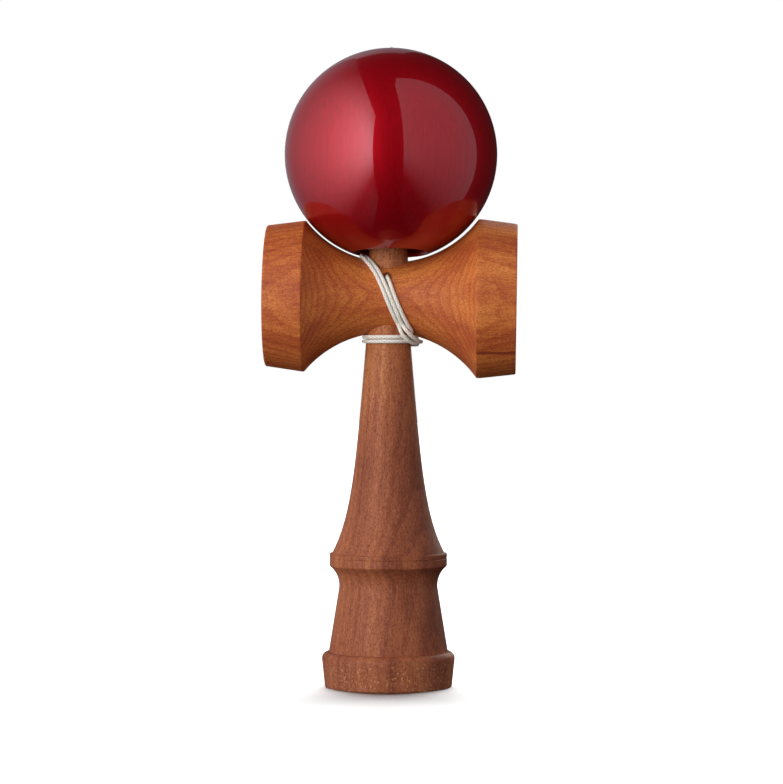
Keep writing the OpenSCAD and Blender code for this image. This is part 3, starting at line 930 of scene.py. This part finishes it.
# %% Woods
handle_wood = wood(
    "handle_wood", "Z", (-46, 30), (2.8, 0.08),
    shades((0.2, 206, 134, 80), (0.45, 170, 97, 58), (0.7, 130, 66, 40), (1.0, 86, 39, 24)),
    paint(100, 47, 30), (0.41, 0.9, 0.7), 0.5, fleck_top=foot_height, pale=(62, 92))
cross_wood = wood(
    "cross_wood", "X", (70, 111), (1.5, 0.11),
    shades((0.2, 236, 155, 80), (0.46, 214, 124, 56), (0.71, 180, 86, 40), (1.0, 126, 50, 28)),
    paint(140, 58, 32), (0.42, 0.8, 0.62), 0.46, streak=(94.5, 24))
bead_wood = wood(
    "bead_wood", "Z", (-20, 14), (1.4, 0.3),
    shades((0.2, 226, 190, 146), (0.6, 206, 164, 118), (1.0, 170, 122, 80)),
    paint(150, 104, 66), (0.34, 1.0, 0.7), 0.5)
print("woods:", handle_wood.name, cross_wood.name, bead_wood.name)

# %% [markdown]
# Red lacquer
# The ball looks as if a see-through red lay over a bright ground, under clear lacquer. So the red is
# deep, it glows where it faces the light and goes dark where it doesn't, and a sharp clear coat lies
# over it. The shader has a half metallic base for the glow, with faint streaks, and a coat for the
# gloss.

# %% Lacquer finish
deep_red, bright_red = paint(174, 0, 16), paint(188, 1, 22)
ground_roughness, streak_roughness = 0.4, 0.03


def lacquer(name):
    """Deep red, half metallic ground under a smooth clear coat."""
    material, shader, place = start_finish(name)
    squeeze = (1.0, 1.0, grain_squeeze)
    drawn = place.node("ShaderNodeVectorMath", {"operation": "MULTIPLY"}, {0: place, 1: squeeze})
    streak = noise(drawn, 1.3, 3.0)
    fleck = noise(place, 9.0, 2.0)
    share = between(streak * 0.7 + fleck * 0.3, 0.35, 0.65)
    colour = blend_colours(place, share, deep_red, bright_red)
    plug(colour, shader, "Base Color")
    plug(ground_roughness + streak * streak_roughness, shader, "Roughness")
    set_even(shader, {
        "Metallic": 0.5,
        "Specular IOR Level": 0.1,
        "Coat Weight": 1.0,
        "Coat Roughness": 0.025,
        "Coat IOR": 1.5,
    })
    return material


ball_lacquer = lacquer("ball_lacquer")
print("lacquer:", ball_lacquer.name)

# %% [markdown]
# Cord finish
# The cord is off-white, with painted shade that makes it a little darker between its strands. Fine
# fibres roughen it, and loose ends give it a soft sheen at the edges.

# %% Cord finish
# The valley colour is painted shade for the grooves between strands.
shaded_valley_cream, strand_cream = paint(214, 202, 178), paint(255, 250, 233)
fibre_strength, fibre_depth = 0.5, 0.0001


def cord_finish(name):
    """Cream fibres, with painted shade darker between strands, from the strand attribute that the tube
    carries.
    """
    material, shader, place = start_finish(name)
    strand = place.node("ShaderNodeAttribute", {"attribute_name": "strand"}, out="Fac")
    fibre = noise(place, 7.0, 3.0, 0.65)
    soil = noise(place, 0.5, 2.0)
    # Low strand values get painted shade; fibre and soil noise add the cord's own uneven tone.
    share = between(strand * 0.75 + fibre * 0.4 + soil * 0.2, 0.45, 1.1)
    colour = blend_colours(place, share, shaded_valley_cream, strand_cream)
    plug(colour, shader, "Base Color")
    plug(bump(place, fibre, fibre_strength, fibre_depth), shader, "Normal")
    set_even(shader, {
        "Roughness": 0.8,
        "Specular IOR Level": 0.25,
        "Sheen Weight": 0.3,
        "Sheen Roughness": 0.5,
    })
    return material


cord_fibre = cord_finish("cord_fibre")
print("cord:", cord_fibre.name)

# %% [markdown]
# Dress the frame
# Each surface gets its finish, rides on the body that its solid belongs to, and stands in for that
# solid. The cord, which crosses the joint that lifts the ball, gets its finish and rides on no body.

# %% Finishes, bodies and the cord
dressed = [
    (handle, handle_wood, "handle", "handle", "handle_wood"),
    (cross_piece, cross_wood, "handle", "cross_piece", "cross_wood"),
    (ball, ball_lacquer, "ball", "ball", "ball_lacquer"),
    (bead, bead_wood, "bead", "stop_bead", "bead_wood"),
    (bead_knot, cord_fibre, "bead", "bead_knot", "cord"),
    (anchor_knot, cord_fibre, "handle", "anchor_knot", "cord"),
]
for piece, finish, body, node, slot in dressed:
    piece.data.materials.clear()
    piece.data.materials.append(finish)
    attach(piece, body)
    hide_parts(node)

cord.data.materials.append(cord_fibre)
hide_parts("cord_lead", "cord_neck_winding", "cord_first_loop", "cord_second_loop", "cord_riser",
            "cord_ball_end")
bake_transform(cord)
print("pieces dressed:", len(dressed) + 1)

# %% [markdown]
# Screens
# The toy stands between two tall white screens. The left one is bright, and brightest near the camera,
# the right one is dim, and the gap between them shows as a deep red slit in the ball's gloss. A smaller
# screen stands behind. Each is a glowing sheet that the camera doesn't see. It throws no shadow, and
# light linking keeps its light on the toy alone, so that it leaves no bands on the floor.

# %% Screen maker
screen_white = (0.98, 1.0, 1.13, 1)


def sheet_object(name, corners):
    """A flat four-cornered sheet."""
    made = make_object(name, np.array(corners, float), [np.array([[0, 1, 2, 3]])])
    return made


def glow(name, brightness):
    """An emitting finish. brightness is a function from the place in metres to a Wire."""
    material, shader, place = new_material(name)
    tree = material.node_tree
    tree.nodes.remove(shader)
    sockets = {"Color": screen_white, "Strength": brightness(*split_axes(place))}
    light = place.node("ShaderNodeEmission", {}, sockets)
    tree.links.new(light.socket, tree.nodes["Material Output"].inputs["Surface"])
    return material


lit_toy = bpy.data.collections.new("lit_toy")
for piece in [cord] + [row[0] for row in dressed]:
    lit_toy.objects.link(piece)


def screen(name, corners, brightness):
    """A glowing screen that lights the toy and shows in its gloss, and that the camera doesn't see."""
    made = sheet_object(name, corners)
    made.data.materials.append(glow(name, brightness))
    made.visible_camera = False
    made.visible_shadow = False
    made.light_linking.receiver_collection = lit_toy


# %% [markdown]
# Where the screens stand
# Two screens face each other across the toy. They reach below the floor, because gloss looks straight
# through that floor. How bright a screen is depends on the place on it.

# %% Three screens
screen_foot = -1.6
left_x, left_front, left_back, left_top = -0.42, -1.3734, 1.6, 1.24
right_x, right_front, right_back, right_top = 0.42, -1.512, 0.252, 6.0
right_lean = 0.6
back_left, back_right, back_y, back_foot, back_top = -1.3, 0.1, 1.5, 0.1, 1.5


def low_fade(z):
    """Share of a screen's light by height: little comes from below the floor."""
    return between(z, -0.6, 0.2, 0.06, 1.0)


def left_light(x, y, z):
    """Brightest near the camera, weaker towards the back and the top."""
    return between(y, -1.0, 0.4, 3.3, 0.25) * between(z, 0.4, left_top, 1.0, 0.45) * low_fade(z)


def right_light(x, y, z):
    """Dim, and a little weaker towards the back."""
    return between(y, right_front, right_back, 0.8, 0.55) * low_fade(z)


def back_light(x, y, z):
    """Weaker towards the right."""
    return between(x, back_left, back_right, 0.6, 0.2)


screen("left_screen", [
    [left_x, left_front, screen_foot], [left_x, left_back, screen_foot],
    [left_x, left_back, left_top], [left_x, left_front, left_top]], left_light)
screen("right_screen", [
    [right_x, right_back, screen_foot], [right_x, right_front, screen_foot],
    [right_x, right_front, right_top], [right_x, right_back - right_lean, right_top]], right_light)
screen("back_screen", [
    [back_left, back_y, back_foot], [back_right, back_y, back_foot],
    [back_right, back_y, back_top], [back_left, back_y, back_top]], back_light)
print("gap between the screens", right_x - left_x, "m")

# %% [markdown]
# The floor
# The floor is white. One broad light from above and behind reaches the floor alone, so it is white all
# over and darkens only where the toy keeps that light off it, in front of the foot. The floor sends no
# light back to the toy.

# %% Floor and its light
floor_half = 3.0
floor = sheet_object("floor", [
    [-floor_half, -floor_half, 0], [floor_half, -floor_half, 0],
    [floor_half, floor_half, 0], [-floor_half, floor_half, 0]])
floor_white, floor_shader, _ = new_material("floor_white")
set_even(floor_shader, {
    "Base Color": (0.9, 0.9, 0.9, 1),
    "Roughness": 1.0,
    "Specular IOR Level": 0.0,
})
floor.data.materials.append(floor_white)
floor.visible_glossy = False
floor.visible_diffuse = False

floor_lamp = bpy.data.lights.new("floor_light", "SUN")
floor_lamp.energy = 7.5
floor_lamp.angle = math.radians(66)
floor_light = bpy.data.objects.new("floor_light", floor_lamp)
floor_light.rotation_euler = (math.radians(-34), 0, 0)
bpy.context.collection.objects.link(floor_light)
lit_floor = bpy.data.collections.new("lit_floor")
lit_floor.objects.link(floor)
floor_light.light_linking.receiver_collection = lit_floor
print("floor", 2 * floor_half, "m wide")

# %% [markdown]
# Fills and sky
# Two wide lamps reach the wood and the cord alone, one from the front and one from behind. So the wood
# can be brightened while the ball's gloss shows only the screens. The sky is white to the camera and
# nearly dark to the toy.

# %% Fills and sky
fill_white, fill_size = (1.0, 0.98, 0.91), 1.0
sky_seen, sky_light = 1.0, 0.015
lit_wood = bpy.data.collections.new("lit_wood")
for piece in (handle, cross_piece, cord, anchor_knot):
    lit_wood.objects.link(piece)


def fill_light(name, energy, location):
    """A wide soft light for the wood and the cord alone, aimed at the toy's foot."""
    light = bpy.data.lights.new(name, "AREA")
    light.energy = energy
    light.size = fill_size
    light.color = fill_white
    made = bpy.data.objects.new(name, light)
    made.location = location
    made.rotation_euler = (-made.location).to_track_quat("-Z", "Y").to_euler()
    made.light_linking.receiver_collection = lit_wood
    bpy.context.collection.objects.link(made)


fill_light("front_fill", 5.6, (-0.5, -1.25, 0.12))
fill_light("back_fill", 9.0, (0.6, 1.2, 0.7))

world = bpy.data.worlds.new("studio")
bpy.context.scene.world = world
world.use_nodes = True
sky = world.node_tree.nodes["Background"]
ray_kinds = world.node_tree.nodes.new("ShaderNodeLightPath")
rays = Wire(world.node_tree, ray_kinds.outputs["Is Camera Ray"])
plug(between(rays, 0.0, 1.0, sky_light, sky_seen), sky, "Strength")
sky.inputs["Color"].default_value = (1, 1, 1, 1)
bpy.context.scene.view_settings.view_transform = "Standard"

# %% [markdown]
# Sizes and the end
# The end
